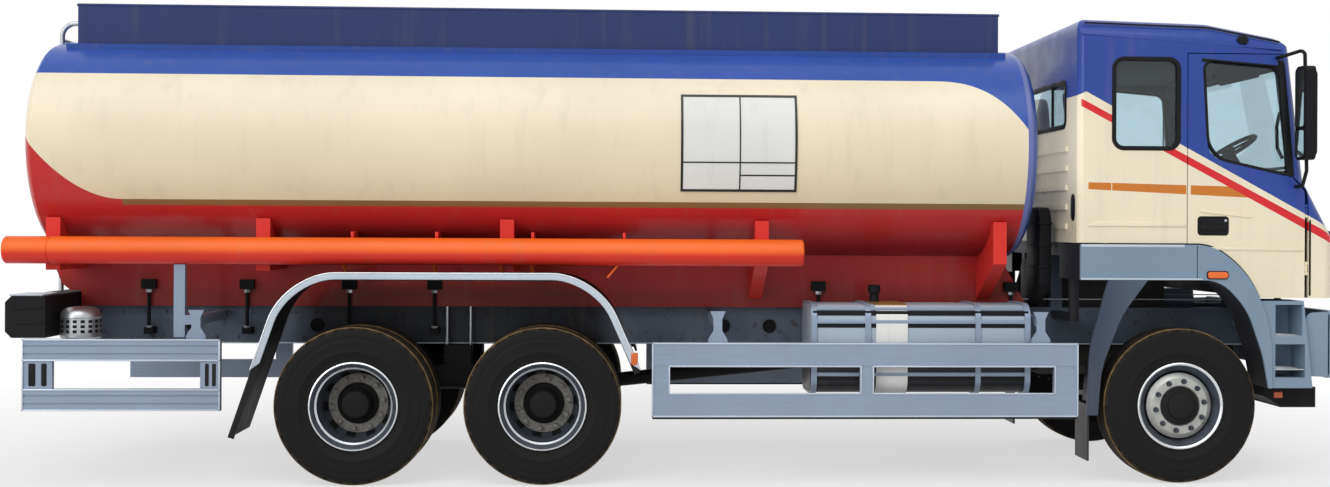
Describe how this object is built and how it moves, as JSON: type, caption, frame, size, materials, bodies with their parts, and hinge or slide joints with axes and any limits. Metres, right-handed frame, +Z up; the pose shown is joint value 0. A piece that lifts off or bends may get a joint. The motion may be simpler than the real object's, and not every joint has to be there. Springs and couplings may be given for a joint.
{
  "type": "road tanker truck",
  "caption": "Rigid road tanker with a rounded tank, walkway and manholes on top, tilting sleeper-less cab, twin rear axles and side guards, for carrying liquids by road.",
  "frame": {"origin": "on the ground under the middle of the bounding box", "axes": "+X forward along the truck, +Y to its left, +Z up"},
  "size_m": [8.69, 2.9, 3.1298],
  "materials": {
    "frame_grey": "satin",
    "black_steel": "satin",
    "cast_metal": "rough",
    "tank_paint": "gloss",
    "navy_paint": "satin",
    "red_paint": "satin",
    "orange_paint": "satin",
    "cab_paint": "gloss",
    "grey_paint": "satin",
    "guard_metal": "satin",
    "bare_steel": "brushed",
    "rim_silver": "satin",
    "tyre_rubber": "matt",
    "black_plastic": "matt",
    "trim_plastic": "grained",
    "lamp_plastic": "gloss",
    "seat_cloth": "woven",
    "clear_glass": "polished"
  },
  "bodies": {
    "chassis": {"frame_rails": "frame_grey", "crossmembers": "frame_grey", "axles": "cast_metal", "leaf_springs": "cast_metal", "engine": "cast_metal", "propeller_shafts": "black_steel", "fuel_tank": "bare_steel", "air_reservoirs": "black_steel", "battery_box": "black_plastic", "side_guard_rails": "guard_metal", "side_guard_posts": "guard_metal", "rear_mudguards": "black_plastic", "rear_bumper": "black_steel", "front_bumper": "grey_paint", "lamps": "lamp_plastic", "front_underrun": "black_steel", "exhaust_canister": "guard_metal", "tank_barrel": "tank_paint", "tank_bearers": "red_paint", "tank_mounts": "black_steel", "walkway": "navy_paint", "hose_tubes": "orange_paint", "rear_ladder": "bare_steel", "front_fenders": "grey_paint"},
    "cab": {"cab_floor": "cab_paint", "cab_back_wall": "cab_paint", "cab_sides": "cab_paint", "cab_roof": "cab_paint", "cab_front": "cab_paint", "cab_glass": "clear_glass", "dashboard": "trim_plastic", "seats": "seat_cloth"},
    "door_right": {"door_right": "cab_paint", "door_glass_right": "clear_glass", "mirror_right": "black_plastic"},
    "door_left": {"door_left": "cab_paint", "door_glass_left": "clear_glass", "mirror_left": "black_plastic"},
    "lid_1": {"lid_1": "navy_paint"},
    "lid_2": {"lid_2": "navy_paint"},
    "lid_3": {"lid_3": "navy_paint"},
    "lid_4": {"lid_4": "navy_paint"},
    "knuckle_right": {"knuckle_right": "cast_metal"},
    "knuckle_left": {"knuckle_left": "cast_metal"},
    "front_wheel_right": {"front_wheel_right": "rim_silver", "front_tyre_right": "tyre_rubber"},
    "front_wheel_left": {"front_wheel_left": "rim_silver", "front_tyre_left": "tyre_rubber"},
    "mid_wheel_right": {"mid_wheel_right": "rim_silver", "mid_tyre_right": "tyre_rubber"},
    "mid_wheel_left": {"mid_wheel_left": "rim_silver", "mid_tyre_left": "tyre_rubber"},
    "rear_wheel_right": {"rear_wheel_right": "rim_silver", "rear_tyre_right": "tyre_rubber"},
    "rear_wheel_left": {"rear_wheel_left": "rim_silver", "rear_tyre_left": "tyre_rubber"},
    "steering_wheel": {"steering_wheel": "black_plastic"}
  },
  "joints": [
    {"name": "cab_tilt", "type": "hinge", "parent": "chassis", "child": "cab", "pos_m": [4.24, 0, 1.16], "axis": [0, 1, 0], "range_deg": [0, 50]},
    {"name": "door_right_hinge", "type": "hinge", "parent": "cab", "child": "door_right", "pos_m": [4.105, -1.208, 1.6], "axis": [0, 0, 1], "range_deg": [0, 68]},
    {"name": "door_left_hinge", "type": "hinge", "parent": "cab", "child": "door_left", "pos_m": [4.105, 1.208, 1.6], "axis": [0, 0, -1], "range_deg": [0, 68]},
    {"name": "lid_1_hinge", "type": "hinge", "parent": "chassis", "child": "lid_1", "pos_m": [-3.7, 0, 3.04733], "axis": [0, -1, 0], "range_deg": [0, 105]},
    {"name": "lid_2_hinge", "type": "hinge", "parent": "chassis", "child": "lid_2", "pos_m": [-2.131, 0, 3.04733], "axis": [0, -1, 0], "range_deg": [0, 105]},
    {"name": "lid_3_hinge", "type": "hinge", "parent": "chassis", "child": "lid_3", "pos_m": [-0.557, 0, 3.04733], "axis": [0, -1, 0], "range_deg": [0, 105]},
    {"name": "lid_4_hinge", "type": "hinge", "parent": "chassis", "child": "lid_4", "pos_m": [1.107, 0, 3.04733], "axis": [0, -1, 0], "range_deg": [0, 105]},
    {"name": "steer_right", "type": "hinge", "parent": "chassis", "child": "knuckle_right", "pos_m": [3.272, -0.96, 0.51], "axis": [0, 0, 1], "range_deg": [-35, 35]},
    {"name": "steer_left", "type": "hinge", "parent": "chassis", "child": "knuckle_left", "pos_m": [3.272, 0.96, 0.51], "axis": [0, 0, 1], "range_deg": [-35, 35]},
    {"name": "front_wheel_right_spin", "type": "hinge", "parent": "knuckle_right", "child": "front_wheel_right", "pos_m": [3.272, -1.08, 0.51], "axis": [0, 1, 0], "continuous": true},
    {"name": "front_wheel_left_spin", "type": "hinge", "parent": "knuckle_left", "child": "front_wheel_left", "pos_m": [3.272, 1.08, 0.51], "axis": [0, 1, 0], "continuous": true},
    {"name": "mid_wheel_right_spin", "type": "hinge", "parent": "chassis", "child": "mid_wheel_right", "pos_m": [-0.915, -1.1, 0.51], "axis": [0, 1, 0], "continuous": true},
    {"name": "mid_wheel_left_spin", "type": "hinge", "parent": "chassis", "child": "mid_wheel_left", "pos_m": [-0.915, 1.1, 0.51], "axis": [0, 1, 0], "continuous": true},
    {"name": "rear_wheel_right_spin", "type": "hinge", "parent": "chassis", "child": "rear_wheel_right", "pos_m": [-2.124, -1.1, 0.51], "axis": [0, 1, 0], "continuous": true},
    {"name": "rear_wheel_left_spin", "type": "hinge", "parent": "chassis", "child": "rear_wheel_left", "pos_m": [-2.124, 1.1, 0.51], "axis": [0, 1, 0], "continuous": true},
    {"name": "steering_wheel_turn", "type": "hinge", "parent": "cab", "child": "steering_wheel", "pos_m": [3.8, -0.6, 2.215], "axis": [-0.5299, 0, 0.848], "range_deg": [-640, 640]}
  ],
  "couplings": [
    {"joint": "steer_left", "follows": "steer_right", "ratio": 1},
    {"joint": "steering_wheel_turn", "follows": "steer_right", "ratio": 18}
  ]
}
